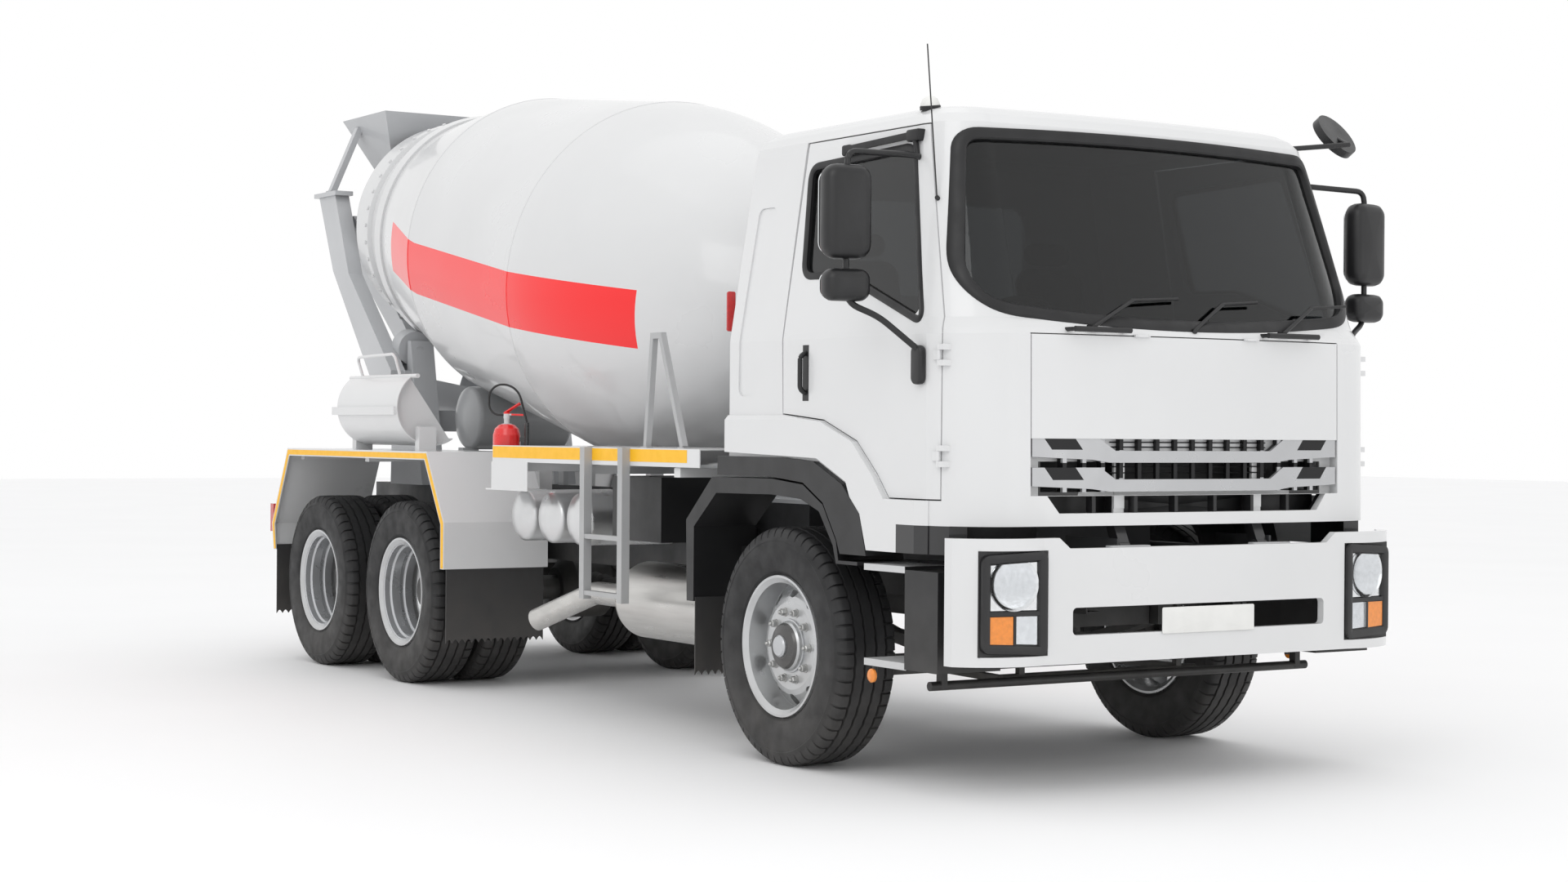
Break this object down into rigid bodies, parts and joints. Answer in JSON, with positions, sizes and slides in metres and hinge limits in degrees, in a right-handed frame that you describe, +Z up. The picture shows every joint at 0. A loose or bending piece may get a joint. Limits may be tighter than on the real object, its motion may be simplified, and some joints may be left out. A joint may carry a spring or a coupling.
{
  "type": "concrete mixer truck",
  "caption": "Cab-over lorry with a tilted mixing drum, hoppers, a swivelling discharge chute, a tilting cab, opening doors and twin rear axles.",
  "frame": {"origin": "on the ground, under the middle of the overall length and width", "axes": "+X forward, +Y to the truck's left, +Z up"},
  "size_m": [8.561, 3.21, 3.6798],
  "materials": {
    "frame_paint": "satin black",
    "body_paint": "gloss white",
    "mixer_paint": "gloss light grey",
    "drum_paint": "gloss white with a red band",
    "grey_paint": "satin grey",
    "black_plastic": "fine grained",
    "grille_metal": "silver, black behind",
    "glass": "dark tint",
    "lamp": "clear cover over a bright reflector",
    "lamp_red": "red cover",
    "seat_cloth": "dark grey weave",
    "red_paint": "gloss red",
    "hose": "matt black",
    "steel": "brushed",
    "tank_metal": "satin",
    "flap_rubber": "matt black",
    "tyre": "matt rubber",
    "rim_silver": "silver"
  },
  "bodies": {
    "chassis": {"air_tanks": "steel", "battery_box": "black_plastic", "bumper": "body_paint", "cab_steps": "black_plastic", "charge_hopper": "mixer_paint", "chassis_frame": "frame_paint", "decks": "body_paint", "discharge_hopper": "mixer_paint", "driveline": "frame_paint", "drum_drive": "mixer_paint", "exhaust": "steel", "extinguisher_hose": "hose", "fire_extinguisher": "red_paint", "front_axle": "frame_paint", "front_mudguards": "body_paint", "fuel_tank": "tank_metal", "headlamps": "lamp", "ladder": "grey_paint", "mudflaps": "flap_rubber", "rear_axles": "frame_paint", "rear_frame": "mixer_paint", "rear_mudguards": "body_paint", "stowed_chute": "mixer_paint", "suspension": "frame_paint", "tail_lamps": "lamp_red", "water_tank": "mixer_paint"},
    "cab": {"cab_shell": "body_paint", "cab_glass": "glass", "arch_flares": "black_plastic", "dashboard": "black_plastic", "seats": "seat_cloth", "cab_trim": "black_plastic"},
    "steering_wheel": {"steering_wheel": "black_plastic"},
    "front_lid": {"front_lid": "body_paint", "grille": "grille_metal"},
    "door_right": {"door_right": "body_paint", "door_glass_right": "glass", "mirrors_right": "black_plastic"},
    "door_left": {"door_left": "body_paint", "door_glass_left": "glass", "mirrors_left": "black_plastic"},
    "drum": {"drum": "drum_paint"},
    "chute_turntable": {"chute_turntable": "mixer_paint"},
    "chute_main": {"chute_main": "mixer_paint"},
    "chute_fold": {"chute_fold": "mixer_paint"},
    "knuckle_right": {"knuckle_right": "frame_paint"},
    "knuckle_left": {"knuckle_left": "frame_paint"},
    "tie_rod": {"tie_rod": "frame_paint"},
    "wheel_front_right": {"tyre_front_right": "tyre", "rim_front_right": "rim_silver"},
    "wheels_middle_right": {"tyres_middle_right": "tyre", "rims_middle_right": "rim_silver"},
    "wheels_rear_right": {"tyres_rear_right": "tyre", "rims_rear_right": "rim_silver"},
    "wheel_front_left": {"tyre_front_left": "tyre", "rim_front_left": "rim_silver"},
    "wheels_middle_left": {"tyres_middle_left": "tyre", "rims_middle_left": "rim_silver"},
    "wheels_rear_left": {"tyres_rear_left": "tyre", "rims_rear_left": "rim_silver"}
  },
  "joints": [
    {"name": "cab_tilt", "type": "hinge", "parent": "chassis", "child": "cab", "pos_m": [4.195, 0, 1.035], "axis": [0, 1, 0], "range_deg": [0, 50]},
    {"name": "steering_wheel", "type": "hinge", "parent": "cab", "child": "steering_wheel", "pos_m": [3.57, -0.56, 1.985], "axis": [-0.55, 0, 0.8352], "range_deg": [-684, 684]},
    {"name": "front_lid", "type": "hinge", "parent": "cab", "child": "front_lid", "pos_m": [4.23, 0, 1.934], "axis": [0, -1, 0], "range_deg": [0, 75]},
    {"name": "door_right", "type": "hinge", "parent": "cab", "child": "door_right", "pos_m": [3.988, -1.2, 1.5], "axis": [0, 0, 1], "range_deg": [0, 70]},
    {"name": "door_left", "type": "hinge", "parent": "cab", "child": "door_left", "pos_m": [3.988, 1.2, 1.5], "axis": [0, 0, -1], "range_deg": [0, 70]},
    {"name": "drum_spin", "type": "hinge", "parent": "chassis", "child": "drum", "pos_m": [-0.44, 0, 2.388], "axis": [-0.9857, 0, 0.1685], "continuous": true},
    {"name": "chute_swivel", "type": "hinge", "parent": "chassis", "child": "chute_turntable", "pos_m": [-3.94, 0, 1.3], "axis": [0, 0, 1], "range_deg": [0, 180]},
    {"name": "chute_raise", "type": "hinge", "parent": "chute_turntable", "child": "chute_main", "pos_m": [-3.94, 0, 1.61], "axis": [1, 0, 0], "range_deg": [-29, 11]},
    {"name": "chute_fold", "type": "hinge", "parent": "chute_main", "child": "chute_fold", "pos_m": [-3.94, 1.0321, 1.6818], "axis": [-1, 0, 0], "range_deg": [0, 180]},
    {"name": "steering_right", "type": "hinge", "parent": "chassis", "child": "knuckle_right", "pos_m": [2.78, -0.93, 0.542], "axis": [0, 0, 1], "range_deg": [-38, 38]},
    {"name": "wheel_front_right", "type": "hinge", "parent": "knuckle_right", "child": "wheel_front_right", "pos_m": [2.78, -1.079, 0.542], "axis": [0, 1, 0], "continuous": true},
    {"name": "wheels_middle_right", "type": "hinge", "parent": "chassis", "child": "wheels_middle_right", "pos_m": [-1.53, -0.906, 0.542], "axis": [0, 1, 0], "continuous": true},
    {"name": "wheels_rear_right", "type": "hinge", "parent": "chassis", "child": "wheels_rear_right", "pos_m": [-2.84, -0.906, 0.542], "axis": [0, 1, 0], "continuous": true},
    {"name": "steering_left", "type": "hinge", "parent": "chassis", "child": "knuckle_left", "pos_m": [2.78, 0.93, 0.542], "axis": [0, 0, 1], "range_deg": [-38, 38]},
    {"name": "wheel_front_left", "type": "hinge", "parent": "knuckle_left", "child": "wheel_front_left", "pos_m": [2.78, 1.079, 0.542], "axis": [0, 1, 0], "continuous": true},
    {"name": "wheels_middle_left", "type": "hinge", "parent": "chassis", "child": "wheels_middle_left", "pos_m": [-1.53, 0.906, 0.542], "axis": [0, 1, 0], "continuous": true},
    {"name": "wheels_rear_left", "type": "hinge", "parent": "chassis", "child": "wheels_rear_left", "pos_m": [-2.84, 0.906, 0.542], "axis": [0, 1, 0], "continuous": true},
    {"name": "tie_rod", "type": "hinge", "parent": "knuckle_right", "child": "tie_rod", "pos_m": [2.61, -0.93, 0.4], "axis": [0, 0, 1], "range_deg": [-38, 38]}
  ],
  "couplings": [
    {"joint": "steering_left", "follows": "steering_right", "ratio": 1},
    {"joint": "tie_rod", "follows": "steering_right", "ratio": -1},
    {"joint": "steering_wheel", "follows": "steering_right", "ratio": 18}
  ]
}
